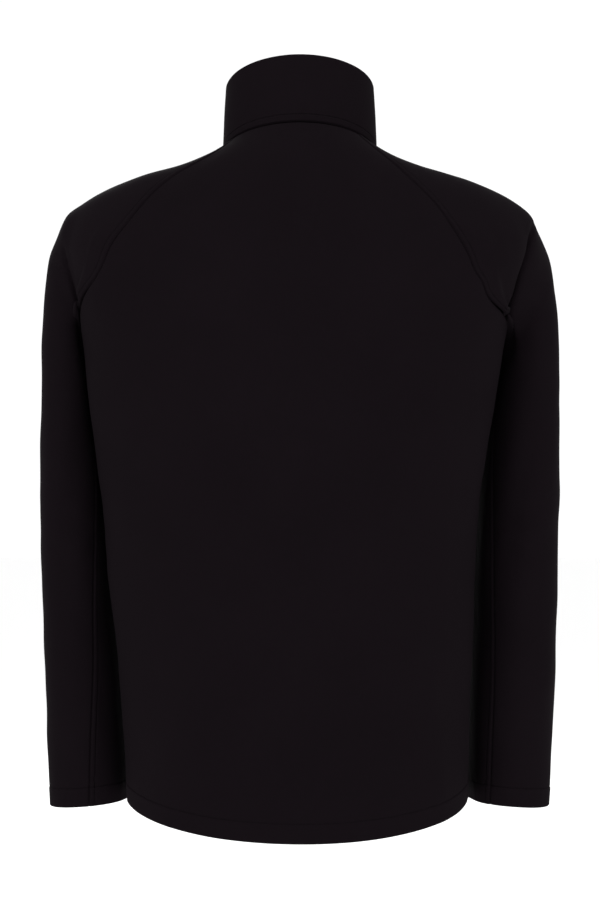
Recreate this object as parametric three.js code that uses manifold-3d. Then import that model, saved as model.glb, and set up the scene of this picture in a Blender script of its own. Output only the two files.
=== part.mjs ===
import * as THREE from 'three';
import { mergeVertices } from 'three/addons/utils/BufferGeometryUtils.js';
import Module from 'manifold-3d';

const wasm = await Module();
wasm.setup();

// Softshell jacket, filled out with no wearer. Millimetres, +Z up, front faces -Y, wearer's left is +X.
// The origin lies on the centre axis at the height of the side neck points.

const CLOTH = 1.6;            // wall of back, fronts and sleeves
const COLLAR_WALL = 2.4;      // two layers of the same cloth
const SEAM_GAP = 0.3;         // slit left between neighbouring pieces
const FRONT_OPENING = 9.6;    // between the two front edges, the zip shows in it
const CHAIN_WIDTH = 4.6;
const CHAIN_DEPTH = [0.7, 3.1];
const TAPE_WIDTH = 13;
const TAPE_WALL = 0.8;

// Body rings, numbered from the neck seam (0) over the shoulders and the underarm (8) to the hem (15).
// xl, xr half widths; ys, zs centre of the side points; tilt lift per unit towards the back;
// yb, zb centre back point; yf, zf centre front point; n roundness
const RINGS = [
  [82, 81, 4, -11, 29, 70, 18, -62, -42, 2.0],
  [98, 97, 4, -16.5, 20, 83, 4, -73, -57, 2.0],
  [131, 127, 4, -26, 12, 96, -16, -84, -77, 2.0],
  [173, 168, 3, -35.5, 8, 108, -44, -94, -101, 2.0],
  [208, 205, 2, -49, 5, 118, -78, -103, -127, 2.05],
  [234, 231, 1, -65, 3, 125, -114, -110, -152, 2.1],
  [246, 241, 0, -91, 1, 130, -150, -115, -176, 2.2],
  [242, 235, 0, -137, 0, 133, -186, -118, -200, 2.3],
  [229, 218, 0, -200, 0, 134, -224, -119, -230, 2.35],
  [223, 208, 0, -262, 0, 133, -270, -120, -274, 2.35],
  [215, 197, 0, -325, 0, 131, -325, -121, -328, 2.3],
  [207, 189, 0, -393, 0, 129, -390, -122, -392, 2.25],
  [200, 185, 0, -465, 0, 128, -460, -122, -462, 2.2],
  [193, 182, 0, -538, 0, 128, -535, -123, -535, 2.15],
  [187, 180, 0, -612, 0, 128, -616, -123, -610, 2.1],
  [182, 178.5, 0, -689, -22, 128, -719, -124, -684, 2.05],
];
const UNDERARM = 8;
const HEM = 15;

// Degrees from the shoulder line to the raglan seams on rings 0 to 8.
// back left, back right, front left, front right
const RAGLAN = [
  [35, 43, 48, 48], [38, 43, 46, 46], [41, 46, 42, 42], [41.5, 49, 38, 38],
  [42, 49, 34, 34], [42, 48.5, 30, 30], [39, 46, 26, 26], [30.5, 36.5, 20, 20], [0, 0, 0, 0],
];

// Sleeve tubes, numbered on from ring 5 to the cuff (15).
// z; cxl, cxr centre; cy; al, ar half width; b half depth; turn degrees; n roundness; seam_l, seam_r degrees
const TUBE_TOP = 5;
const TUBE = [
  [-60, 196, 194, -6, 38, 38, 50, 8, 2.1, 180, 180],
  [-95, 217, 214, -18, 38, 38, 58, 12, 2.1, 180, 180],
  [-140, 229, 227, -32, 37, 37, 67, 16, 2.1, 180, 180],
  [-200, 231.5, 231.2, -44, 36, 36, 73, 19, 2.2, 180, 180],
  [-262, 232.2, 231.2, -44, 36, 37, 72, 19, 2.2, 165, 168],
  [-330, 234.2, 231.8, -43, 36.8, 40.4, 69, 18, 2.2, 152, 158],
  [-400, 234.2, 231, -42, 38.3, 42.4, 65, 17, 2.2, 143, 150],
  [-475, 233, 230, -41, 40, 44, 60, 16, 2.2, 134, 144],
  [-550, 230.2, 228.2, -39, 41.2, 44, 56, 15, 2.15, 127, 139],
  [-625, 228.1, 225.2, -37, 42.1, 44.8, 51, 14, 2.1, 117, 135],
  [-698, 225.8, 222.5, -35, 42.6, 43.9, 45, 13, 2.1, 108, 132],
];
// Degrees by which the sleeve turns up out of the yoke's sheet right at its seams on rings 5 to 8: back, front
const TURN_UP = [[0, 0], [0, 18], [12, 70], [118, 125]];
const WIDTH_AT_CHEST = 400;   // the sleeve's width round the upper arm
const TURN_REACH = 0.13;      // share of the width that follows this turn
// Share of the sleeve's width, from its back edge, that still lies in the yoke's sheet on rings 5 to 8: left, right
const FOLD = [[0.416, 0.465], [0.375, 0.428], [0.29, 0.34], [0.0, 0.0]];
const ROOM = [4.2, 2.8];      // from body to sleeve at the underarm and lower down
const CUFF_RISE = 7.4;        // the inner edge of a cuff is this much higher than its outer edge

// Collar rings, foot (0) to rim (3), same columns as RINGS.
const COLLAR = [
  [82, 81, 4, -11, 29, 70, 18, -62, -42, 2.0],
  [81, 80.5, 3, 8, 29, 69, 38, -62, -22, 2.0],
  [80, 80, 1, 34, 28, 66, 63, -62, 7, 2.0],
  [78.5, 78.5, 0, 61, 27, 62, 89, -62, 33, 2.0],
];
const RIM = 3;

// Rows of facets: stations along a piece, in ring numbers.
const BODY_ROWS = [0, 1, 2, 3, 4, 4.7, 5.35, 6, 6.5, 7, 7.5, 8, 8.6, 9.3, 10, 10.8, 11.6, 12.4, 13.2, 14.1, 15];
const SLEEVE_ROWS = [0, 1, 2, 3, 4, 4.7, 5.35, 6, 6.5, 7, 7.5, 8, 8.3, 8.6, 9.3, 10, 10.8, 11.6, 12.4, 13.2, 14.1, 15];
const COLLAR_ROWS = [0, 1, 2, 3];
const SLEEVE_COLS = [0, 0.02, 0.05, 0.09, 0.14, 0.2, 0.26, 0.32, 0.38, 0.44, 0.5, 0.56, 0.62, 0.68, 0.74, 0.8, 0.86, 0.91, 0.95, 0.98, 1];
const BACK_COLS = 20;
const FRONT_COLS = 11;

// ------------------------------------------------------------ curves
const rad = (d) => (d * Math.PI) / 180;
const clamp = (t, a, b) => Math.min(b, Math.max(a, t));
const smooth = (t0) => { const t = clamp(t0, 0, 1); return t * t * (3 - 2 * t); };
const add = (a, b, k = 1) => [a[0] + k * b[0], a[1] + k * b[1], a[2] + k * b[2]];
const sub = (a, b) => add(a, b, -1);
const cross = (a, b) => [a[1] * b[2] - a[2] * b[1], a[2] * b[0] - a[0] * b[2], a[0] * b[1] - a[1] * b[0]];
const unit = (a) => { const l = Math.hypot(a[0], a[1], a[2]) || 1; return [a[0] / l, a[1] / l, a[2] / l]; };
const mix = (a, b, w) => a.map((v, i) => v * (1 - w) + b[i] * w);

// natural cubic spline through rows of values at 0, 1, 2 ...
function spline(rows) {
  const n = rows.length;
  const bend = rows.map((r) => r.map(() => 0));
  const cp = new Array(n).fill(0);
  for (let i = 1; i < n - 1; i++) {
    const den = 4 - cp[i - 1];
    cp[i] = 1 / den;
    bend[i] = rows[i].map((v, j) => (6 * (rows[i + 1][j] - 2 * v + rows[i - 1][j]) - bend[i - 1][j]) / den);
  }
  for (let i = n - 2; i > 0; i--) bend[i] = bend[i].map((v, j) => v - cp[i] * bend[i + 1][j]);
  return (t) => {
    const i = clamp(Math.floor(t), 0, n - 2);
    const u = t - i;
    const a = 1 - u;
    return rows[i].map((v, j) => a * v + u * rows[i + 1][j]
      + ((a ** 3 - a) * bend[i][j] + (u ** 3 - u) * bend[i + 1][j]) / 6);
  };
}
const ringAt = spline(RINGS);
const raglanAt = spline(RAGLAN);
const tubeAt = spline(TUBE);
const foldAt = spline(FOLD);
const turnAt = spline(TURN_UP);
const collarAt = spline(COLLAR);
const lame = (c, q, n) => (Math.abs(c) ** n + Math.abs(q) ** n) ** (-1 / n);

// a point of a ring, angle in radians from the wearer's left side towards the back
function section([xl, xr, ys, zs, tilt, yb, zb, yf, zf, n], angle) {
  let c = Math.cos(angle);
  let q = Math.sin(angle);
  const r = lame(c, q, n);
  c *= r;
  q *= r;
  return [(c > 0 ? xl : xr) * c, ys + (q > 0 ? yb - ys : ys - yf) * q,
    zs + tilt * q + (q > 0 ? zb - zs - tilt : zf - zs + tilt) * q * q];
}
const ring = (v, angle) => section(ringAt(v), angle);
const collarRing = (v, angle) => section(collarAt(v), angle);
const onSide = (side, degrees) => (side > 0 ? rad(degrees) : Math.PI - rad(degrees));

// half width of the body at depth y and height z
function outline(side, y, z) {
  let lo = 3;
  let hi = HEM + 0.9;
  let R;
  let q;
  for (let i = 0; i < 26; i++) {
    const m = (lo + hi) / 2;
    R = ringAt(m);
    q = y > R[2] ? (y - R[2]) / (R[5] - R[2]) : (y - R[2]) / (R[2] - R[7]);
    const zz = R[3] + R[4] * q + (q > 0 ? R[6] - R[3] - R[4] : R[8] - R[3] + R[4]) * q * q;
    if (zz > z) lo = m; else hi = m;
  }
  return (side > 0 ? R[0] : R[1]) * Math.max(0, 1 - Math.min(1, Math.abs(q)) ** R[9]) ** (1 / R[9]);
}

// a point of the sleeve tube; psi degrees: 0 outer side, 90 back, 180 inner side
function tube(side, v, psi) {
  const T = tubeAt(Math.max(v - TUBE_TOP, 0));
  const cx = side > 0 ? T[1] : T[2];
  const a = side > 0 ? T[4] : T[5];
  const n = T[8];
  const c = Math.cos(rad(psi));
  const q = Math.sin(rad(psi));
  const r = lame(c, q, n);
  const p0 = a * c * r;
  const p1 = T[6] * q * r;
  const t = rad(T[7]);
  const x = cx + p0 * Math.cos(t) + p1 * Math.sin(t);
  const y = T[3] - p0 * Math.sin(t) + p1 * Math.cos(t);
  return [side * x, y, T[0] + CUFF_RISE * smooth(v - HEM + 1) * (cx - x) / (2 * a)];
}

// a sleeve point moved sideways until it is clear of the body by room, with a soft corner
function clearOfBody(side, p, room, soft) {
  const x = side * p[0];
  const edge = outline(side, p[1], p[2]) + room;
  if (x - edge > 40) return p;
  const k = Math.max(soft, 0.02);
  return [side * (edge + k * Math.log1p(Math.exp((x - edge) / k))), p[1], p[2]];
}

// a point of a sleeve; u runs from its back edge (0) round the outside to its front edge (1)
function sleeve(side, v, u) {
  const vr = Math.min(v, UNDERARM);
  const G = raglanAt(vr);
  const back = side > 0 ? G[0] : G[1];
  const front = side > 0 ? G[2] : G[3];
  const T = tubeAt(Math.max(v - TUBE_TOP, 0));
  const start = v < UNDERARM ? 180 : (side > 0 ? T[9] : T[10]);
  const onRing = (s) => ring(vr, onSide(side, back - (back + front) * s));
  if (v < 4.4) return onRing(u);
  const onTube = (s) => tube(side, v, start - 360 * s);
  const hang = smooth(1 - (v - UNDERARM) / 0.8);
  const lift = hang * (v < UNDERARM ? 0 : 1);
  const corner = sub(ring(UNDERARM, onSide(side, 0)), tube(side, UNDERARM, 180));
  let p;
  let w = 1;
  if (v < UNDERARM) {
    const F = foldAt(clamp(v - 5, 0, 3));
    const band = 0.05 + 0.22 * smooth((7.2 - v) / 2.2);
    w = smooth((u - F[side > 0 ? 0 : 1] + band * 0.5) / band)
      * smooth((1 - u) / (0.04 + 0.56 * clamp((8 - v) / 3, 0, 1)))
      * smooth((v - 4.4) / (1.8 + 1.8 * clamp(u * 1.5 - 0.4, 0, 1)));
    p = mix(onRing(u), onTube(u), w);
  } else {
    p = add(onTube(u), corner, lift * smooth(1 - Math.min(u, 1 - u) / 0.16));
  }
  // right at a seam the cloth leaves it under a given angle
  const near = Math.min(u, 1 - u);
  if (near < TURN_REACH && v > 5 && hang > 0) {
    const e = u < 0.5 ? 0 : 1;
    const at = onSide(side, e ? -front : back);
    const seam = v < UNDERARM ? onRing(e) : add(onTube(e), corner, lift);
    const d = 0.02 * side * (e ? 1 : -1);
    const along = unit(sub(ring(vr, at + d), ring(vr, at)));
    const up = unit(cross(sub(ring(vr + 0.01, at), ring(vr - 0.01, at)), sub(ring(vr, at + 0.01), ring(vr, at - 0.01))));
    const turn = rad(turnAt(clamp(v - 5, 0, 3))[e]);
    const reach = near * WIDTH_AT_CHEST;
    const goal = add(add(seam, along, reach * Math.cos(turn)), up, reach * Math.sin(turn));
    const k = (1 - smooth(near / TURN_REACH)) * hang * smooth((v - 5) / 1);
    p = mix(p, goal, k);
  }
  const far = v < UNDERARM ? smooth(w / 0.35) * smooth(near / 0.05) : Math.max(smooth(near / 0.05), smooth((v - UNDERARM) / 0.6));
  return clearOfBody(side, p, (ROOM[0] + (ROOM[1] - ROOM[0]) * smooth((v - UNDERARM) / 1.6)) * far, 4 * far);
}

// ------------------------------------------------------------ solids
// outward normals at the stations of a surface, joined round the tube on the rows where closed(v) holds
function normalsOf(P, rows, flip, closed) {
  const nr = P.length;
  const nc = P[0].length;
  return P.map((row, i) => row.map((_, j) => {
    const join = closed(rows[i]) && (j === 0 || j === nc - 1);
    const du = join ? sub(row[1], row[nc - 2]) : sub(row[Math.min(j + 1, nc - 1)], row[Math.max(j - 1, 0)]);
    const dv = sub(P[Math.min(i + 1, nr - 1)][j], P[Math.max(i - 1, 0)][j]);
    const n = unit(cross(dv, du));
    return flip ? n.map((x) => -x) : n;
  }));
}

// a wall between two depths below a surface; rows and columns are its stations, every edge drawn in by inset
function wall(point, rows, cols, { depth = () => [0, CLOTH], flip = false, inset = () => SEAM_GAP / 2, closed = () => false } = {}) {
  const nr = rows.length;
  const nc = cols.length;
  const P = rows.map((v) => cols.map((u) => point(v, u)));
  const N = normalsOf(P, rows, flip, closed);
  const Q = P.map((r) => r.slice());
  for (let i = 0; i < nr; i++) {
    for (const [j, k] of [[0, 1], [nc - 1, nc - 2]]) {
      const t = sub(P[i][k], P[i][j]);
      Q[i][j] = add(Q[i][j], unit(t), inset(rows[i]));
    }
  }
  for (let j = 0; j < nc; j++) {
    for (const [i, k] of [[0, 1], [nr - 1, nr - 2]]) Q[i][j] = add(Q[i][j], unit(sub(P[k][j], P[i][j])), SEAM_GAP / 2);
  }
  const pos = [];
  for (const side of [0, 1]) {
    for (let i = 0; i < nr; i++) {
      for (let j = 0; j < nc; j++) pos.push(...add(Q[i][j], N[i][j], -depth(rows[i])[side]));
    }
  }
  const at = (s, i, j) => s * nr * nc + i * nc + j;
  const idx = [];
  const quad = (a, b, c, d) => { idx.push(a, b, c, a, c, d); };
  const far = (a, b) => Math.hypot(...sub(a, b));
  for (let i = 0; i < nr - 1; i++) {
    for (let j = 0; j < nc - 1; j++) {
      // each facet pair is split along its shorter diagonal
      const q = [[i, j], [i + 1, j], [i + 1, j + 1], [i, j + 1]];
      if (far(Q[i][j], Q[i + 1][j + 1]) > far(Q[i + 1][j], Q[i][j + 1])) q.push(q.shift());
      quad(...q.map(([r, c]) => at(0, r, c)));
      quad(...[q[0], q[3], q[2], q[1]].map(([r, c]) => at(1, r, c)));
    }
  }
  for (let i = 0; i < nr - 1; i++) {
    quad(at(0, i, 0), at(1, i, 0), at(1, i + 1, 0), at(0, i + 1, 0));
    quad(at(0, i, nc - 1), at(0, i + 1, nc - 1), at(1, i + 1, nc - 1), at(1, i, nc - 1));
  }
  for (let j = 0; j < nc - 1; j++) {
    quad(at(0, 0, j), at(0, 0, j + 1), at(1, 0, j + 1), at(1, 0, j));
    quad(at(0, nr - 1, j), at(1, nr - 1, j), at(1, nr - 1, j + 1), at(0, nr - 1, j + 1));
  }
  if (flip) for (let i = 0; i < idx.length; i += 3) [idx[i + 1], idx[i + 2]] = [idx[i + 2], idx[i + 1]];
  const g = new THREE.BufferGeometry();
  g.setAttribute('position', new THREE.Float32BufferAttribute(pos, 3));
  g.setIndex(idx);
  g.computeVertexNormals();
  return g;
}

const steps = (n, a = 0, b = 1) => Array.from({ length: n + 1 }, (_, i) => a + ((b - a) * i) / n);

// ------------------------------------------------------------ pieces
const jacket = new THREE.Group();
jacket.name = 'softshell_jacket';
function piece(name, geometry, color, roughness = 0.9, metalness = 0) {
  const mesh = new THREE.Mesh(geometry, new THREE.MeshStandardMaterial({ color, roughness, metalness }));
  mesh.name = name;
  jacket.add(mesh);
  return mesh;
}

// back: from the right raglan and side seam to the left one
piece('back', wall((v, u) => {
  const G = v < UNDERARM ? raglanAt(v) : [0, 0, 0, 0];
  return ring(v, rad(180 - G[1] - (180 - G[0] - G[1]) * u));
}, BODY_ROWS, steps(BACK_COLS), { flip: true }), 0x1b171c);

// a front: from its side to its edge beside the zip
function front(side) {
  return (v, u) => {
    const G = v < UNDERARM ? raglanAt(v) : [0, 0, 0, 0];
    const from = side > 0 ? G[2] : G[3];
    const R = ringAt(v);
    const to = 90 - (FRONT_OPENING / 2 / (side > 0 ? R[0] : R[1])) * (180 / Math.PI);
    return ring(v, onSide(side, -(from + (to - from) * u)));
  };
}
piece('front_left', wall(front(1), BODY_ROWS, steps(FRONT_COLS), { flip: true }), 0x1b171c);
piece('front_right', wall(front(-1), BODY_ROWS, steps(FRONT_COLS)), 0x1b171c);


// at the underarm, where four seams meet, a sleeve's corner is drawn in a little more
const sleeveInset = (v) => SEAM_GAP / 2 + 0.9 * smooth(1 - Math.abs(v - UNDERARM + 0.1) / 0.7);
piece('sleeve_left', wall((v, u) => sleeve(1, v, u), SLEEVE_ROWS, SLEEVE_COLS,
  { flip: true, closed: (v) => v > UNDERARM, inset: sleeveInset }), 0x1c181d);
piece('sleeve_right', wall((v, u) => sleeve(-1, v, u), SLEEVE_ROWS, SLEEVE_COLS,
  { closed: (v) => v > UNDERARM, inset: sleeveInset }), 0x1c181d);

// collar: one band, open in front; its columns meet those of the pieces below it
const NECK = (() => {
  const [bl, br, fl, fr] = RAGLAN[0];
  const edge = 90 - (FRONT_OPENING / 2 / RINGS[0][0]) * (180 / Math.PI);
  const down = SLEEVE_COLS.map((u) => 1 - u).reverse();
  const even = (n) => steps(n).slice(1);
  const marks = [[-edge, -fl, even(FRONT_COLS)], [-fl, bl, down.slice(1)], [bl, 180 - br, even(BACK_COLS)],
    [180 - br, 180 + fr, SLEEVE_COLS.slice(1)], [180 + fr, 180 + edge, even(FRONT_COLS)]];
  const all = [-edge];
  for (const [from, to, parts] of marks) all.push(...parts.map((t) => from + (to - from) * t));
  return all;
})();
piece('collar', wall((v, angle) => {
  const R = collarAt(v);
  return section(R, rad(angle));
}, COLLAR_ROWS, NECK, { depth: () => [0, COLLAR_WALL], flip: true }), 0x1b171c);

// ------------------------------------------------------------ zip, closed to the rim of the collar
// stations down the centre front: 0 collar rim, 3 neck seam, 18 hem
const ZIP_NECK = RIM;
const ZIP_END = RIM + HEM;
const frontLine = (v, x) => {
  const R = v < ZIP_NECK ? collarAt(ZIP_NECK - v) : ringAt(v - ZIP_NECK);
  const [half, flip] = x >= 0 ? [R[0], 1] : [R[1], -1];
  return section(R, onSide(flip, -90 + (Math.abs(x) / half) * (180 / Math.PI)));
};
const ZIP_ROWS = [0.15, 1, 2, 2.9, 3.1, 4, 5, 6, 7, 7.7, 8.35, 9, 9.5, 10, 10.5, 11, 11.6, 12.3, 13, 13.8, 14.6, 15.4, 16.2, 17.1, 17.9];
const tapeDepth = (v) => {
  const top = CLOTH + (COLLAR_WALL - CLOTH) * smooth(4 - v) + 0.45;
  return [top, top + TAPE_WALL];
};
const TAPE_COLS = [CHAIN_WIDTH / 2 + 0.3, FRONT_OPENING / 2, CHAIN_WIDTH / 2 + 0.3 + TAPE_WIDTH];
for (const [name, side] of [['zip_tape_left', 1], ['zip_tape_right', -1]]) {
  piece(name, wall((v, x) => frontLine(v, side * x), ZIP_ROWS, TAPE_COLS,
    { depth: tapeDepth, flip: side < 0, inset: () => 0 }), 0x141216);
}

// slider at the top of the closed zip, its pull hanging from a bar under the bridge
const SLIDER_Z = 20;          // height of the pull's axis
const SLIDER_LONG = [9, 6];   // below and above the axis
const SLIDER_WIDE = 8.4;
const PLATE = 1;
const CHANNEL = [0.4, 3.95];  // depths of the two inner faces
const POST_LONG = 3;
const BAR = 0.8;              // radius of the pull's bar
const PLAY = 0.45;
const BRIDGE = { wide: 2, thick: 1, leg: [3.2, 4.2] };
const PULL = { wide: 6.8, hole: 2.9, holeEnd: 6.2, long: 30, thick: 1.6 };
const COLLAR_Y = COLLAR[2][7];
const AXIS_DEPTH = CHANNEL[0] - PLATE - PLAY - BAR;
// a closed geometry as a solid that can be joined to others
function solid(geometry) {
  const g = geometry.clone();
  g.deleteAttribute('normal');
  g.deleteAttribute('uv');
  const m = mergeVertices(g, 1e-4);
  return new wasm.Manifold(new wasm.Mesh({
    numProp: 3, vertProperties: new Float32Array(m.attributes.position.array), triVerts: new Uint32Array(m.index.array),
  }));
}
// a box from x, depth and height ranges
function block(x, d, z) {
  return solid(new THREE.BoxGeometry(x[1] - x[0], d[1] - d[0], z[1] - z[0])
    .translate((x[0] + x[1]) / 2, COLLAR_Y + (d[0] + d[1]) / 2, (z[0] + z[1]) / 2));
}
const half = (w) => [-w / 2, w / 2];
function joined(solids) {
  const m = solids.reduce((a, b) => a.add(b)).getMesh();
  const g = new THREE.BufferGeometry();
  g.setAttribute('position', new THREE.Float32BufferAttribute(m.vertProperties, 3));
  g.setIndex(Array.from(m.triVerts));
  g.computeVertexNormals();
  return g;
}
const low = SLIDER_Z - SLIDER_LONG[0];
const high = SLIDER_Z + SLIDER_LONG[1];
const face = CHANNEL[0] - PLATE;
const bridgeTop = AXIS_DEPTH - BAR - PLAY;
const legs = BRIDGE.leg;
const slider = joined([
  block(half(SLIDER_WIDE), [face, CHANNEL[0]], [low, high]),
  block(half(SLIDER_WIDE), [CHANNEL[1], CHANNEL[1] + PLATE], [low, high]),
  block(half(3), [CHANNEL[0] - 0.2, CHANNEL[1] + 0.2], [high - POST_LONG, high]),
  block(half(BRIDGE.wide), [bridgeTop - BRIDGE.thick, face + 0.2], [SLIDER_Z - legs[1], SLIDER_Z - legs[0]]),
  block(half(BRIDGE.wide), [bridgeTop - BRIDGE.thick, face + 0.2], [SLIDER_Z + legs[0], SLIDER_Z + legs[1]]),
  block(half(BRIDGE.wide), [bridgeTop - BRIDGE.thick, bridgeTop], [SLIDER_Z - legs[1], SLIDER_Z + legs[1]]),
]);
piece('zip_slider', slider, 0x202022, 0.45, 0.8);

const tabDepth = [AXIS_DEPTH - PULL.thick / 2, AXIS_DEPTH + PULL.thick / 2];
const bar = solid(new THREE.CylinderGeometry(BAR, BAR, PULL.wide, 20).rotateZ(Math.PI / 2).translate(0, COLLAR_Y + AXIS_DEPTH, SLIDER_Z));
const pullEnd = SLIDER_Z - PULL.long;
const tabRound = solid(new THREE.CylinderGeometry(PULL.wide / 2, PULL.wide / 2, PULL.thick, 24)
  .translate(0, COLLAR_Y + AXIS_DEPTH, pullEnd + PULL.wide / 2));
const pull = joined([
  bar,
  block([-PULL.wide / 2, -PULL.hole / 2], tabDepth, [SLIDER_Z - PULL.holeEnd - 0.5, SLIDER_Z]),
  block([PULL.hole / 2, PULL.wide / 2], tabDepth, [SLIDER_Z - PULL.holeEnd - 0.5, SLIDER_Z]),
  block(half(PULL.wide), tabDepth, [pullEnd + PULL.wide / 2, SLIDER_Z - PULL.holeEnd]),
  tabRound,
]);
piece('zip_pull', pull, 0x202022, 0.45, 0.8);

// the closed chain from the slider's post to the stop at the hem
const chainTop = high - POST_LONG - 0.3;
const heightOnCollar = (z) => { let a = 0; let b = ZIP_NECK; for (let i = 0; i < 30; i++) { const m = (a + b) / 2; if (frontLine(m, 0)[2] > z) a = m; else b = m; } return a; };
const STOP_AT = 17.7;
const chainRows = (from, to) => [from, ...ZIP_ROWS.filter((v) => v > from + 0.05 && v < to - 0.05), to];
const CHAIN_COLS = [-CHAIN_WIDTH / 2, 0, CHAIN_WIDTH / 2];
piece('zip_chain', wall((v, x) => frontLine(v, x), chainRows(heightOnCollar(chainTop), STOP_AT), CHAIN_COLS,
  { depth: () => CHAIN_DEPTH, inset: () => 0 }), 0x101012, 0.5);
piece('zip_stop', wall((v, x) => frontLine(v, x), [STOP_AT, 17.93], CHAIN_COLS,
  { depth: () => [CHAIN_DEPTH[0] - 0.4, CHAIN_DEPTH[1] + 0.4], inset: () => 0 }), 0x202022, 0.45);

export default jacket;
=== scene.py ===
import math

import bmesh
import bpy
import numpy as np
from mathutils import Matrix, Vector


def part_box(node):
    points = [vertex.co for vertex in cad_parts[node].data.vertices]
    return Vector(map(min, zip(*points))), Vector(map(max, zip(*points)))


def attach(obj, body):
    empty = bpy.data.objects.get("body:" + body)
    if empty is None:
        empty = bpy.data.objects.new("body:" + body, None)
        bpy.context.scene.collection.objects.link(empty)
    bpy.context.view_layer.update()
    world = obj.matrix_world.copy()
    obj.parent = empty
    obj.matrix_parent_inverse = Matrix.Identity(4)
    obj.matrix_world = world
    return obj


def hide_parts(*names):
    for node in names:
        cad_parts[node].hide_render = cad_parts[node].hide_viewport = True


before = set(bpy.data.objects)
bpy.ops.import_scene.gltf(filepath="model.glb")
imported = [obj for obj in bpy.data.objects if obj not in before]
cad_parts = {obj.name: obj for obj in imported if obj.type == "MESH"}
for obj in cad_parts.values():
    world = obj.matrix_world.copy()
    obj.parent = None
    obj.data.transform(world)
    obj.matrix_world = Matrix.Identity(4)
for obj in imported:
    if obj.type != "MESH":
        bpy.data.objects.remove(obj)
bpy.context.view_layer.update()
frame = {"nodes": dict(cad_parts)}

# Softshell jacket, filled out with no wearer. Shapes are worked out in millimetres and written in metres.
# +Z up, the zip faces -Y, the wearer's left is +X.
MM = 0.001
CLOTH = 1.6
COLLAR_WALL = 2.4
HEM_WALL = 3.0            # the turned-up hem is double
SEAM_SLIT = 0.05          # each piece keeps this far from its seam line
FRONT_OPENING = 9.6
CHAIN_WIDTH = 4.6
RAGLAN_STITCH = 5.5       # topstitching beside the raglan seams
HEM_STITCH = 20.5         # and above hem and cuffs
COLLAR_STITCH = 7.9       # and above the neck seam
STITCH_PITCH = 3.3
STITCH_LONG = 2.7
STITCH_R = 0.26

# ------------------------------------------------------------ the form, as in the frame
# rings from the neck seam (0) over shoulders and underarm (8) to the hem (15)
# xl, xr, ys, zs, tilt, yb, zb, yf, zf, n
RINGS = [
    [82, 81, 4, -11, 29, 70, 18, -62, -42, 2.0],
    [98, 97, 4, -16.5, 20, 83, 4, -73, -57, 2.0],
    [131, 127, 4, -26, 12, 96, -16, -84, -77, 2.0],
    [173, 168, 3, -35.5, 8, 108, -44, -94, -101, 2.0],
    [208, 205, 2, -49, 5, 118, -78, -103, -127, 2.05],
    [234, 231, 1, -65, 3, 125, -114, -110, -152, 2.1],
    [246, 241, 0, -91, 1, 130, -150, -115, -176, 2.2],
    [242, 235, 0, -137, 0, 133, -186, -118, -200, 2.3],
    [229, 218, 0, -200, 0, 134, -224, -119, -230, 2.35],
    [223, 208, 0, -262, 0, 133, -270, -120, -274, 2.35],
    [215, 197, 0, -325, 0, 131, -325, -121, -328, 2.3],
    [207, 189, 0, -393, 0, 129, -390, -122, -392, 2.25],
    [200, 185, 0, -465, 0, 128, -460, -122, -462, 2.2],
    [193, 182, 0, -538, 0, 128, -535, -123, -535, 2.15],
    [187, 180, 0, -612, 0, 128, -616, -123, -610, 2.1],
    [182, 178.5, 0, -689, -22, 128, -719, -124, -684, 2.05],
]
UNDERARM = 8
HEM = 15
# degrees to the raglan seams on rings 0 to 8: back left, back right, front left, front right
RAGLAN = [
    [35, 43, 48, 48], [38, 43, 46, 46], [41, 46, 42, 42], [41.5, 49, 38, 38],
    [42, 49, 34, 34], [42, 48.5, 30, 30], [39, 46, 26, 26], [30.5, 36.5, 20, 20], [0, 0, 0, 0],
]
STRAIGHT_ON = 7.5
# z, cxl, cxr, cy, al, ar, b, turn, n, seam_l, seam_r
TUBE_TOP = 5
TUBE = [
    [-60, 196, 194, -6, 38, 38, 50, 8, 2.1, 180, 180],
    [-95, 217, 214, -18, 38, 38, 58, 12, 2.1, 180, 180],
    [-140, 229, 227, -32, 37, 37, 67, 16, 2.1, 180, 180],
    [-200, 231.5, 231.2, -44, 36, 36, 73, 19, 2.2, 180, 180],
    [-262, 232.2, 231.2, -44, 36, 37, 72, 19, 2.2, 165, 168],
    [-330, 234.2, 231.8, -43, 36.8, 40.4, 69, 18, 2.2, 152, 158],
    [-400, 234.2, 231, -42, 38.3, 42.4, 65, 17, 2.2, 143, 150],
    [-475, 233, 230, -41, 40, 44, 60, 16, 2.2, 134, 144],
    [-550, 230.2, 228.2, -39, 41.2, 44, 56, 15, 2.15, 127, 139],
    [-625, 228.1, 225.2, -37, 42.1, 44.8, 51, 14, 2.1, 117, 135],
    [-698, 225.8, 222.5, -35, 42.6, 43.9, 45, 13, 2.1, 108, 132],
]
TURN_UP = [[0, 0], [0, 18], [12, 70], [118, 125]]
WIDTH_AT_CHEST = 400
TURN_REACH = 0.13
FOLD = [[0.416, 0.465], [0.375, 0.428], [0.29, 0.34], [0.0, 0.0]]
ROOM = [4.2, 2.8]
CUFF_RISE = 7.4
COLLAR = [
    [82, 81, 4, -11, 29, 70, 18, -62, -42, 2.0],
    [81, 80.5, 3, 8, 29, 69, 38, -62, -22, 2.0],
    [80, 80, 1, 34, 28, 66, 63, -62, 7, 2.0],
    [78.5, 78.5, 0, 61, 27, 62, 89, -62, 33, 2.0],
]
RIM = 3


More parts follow.
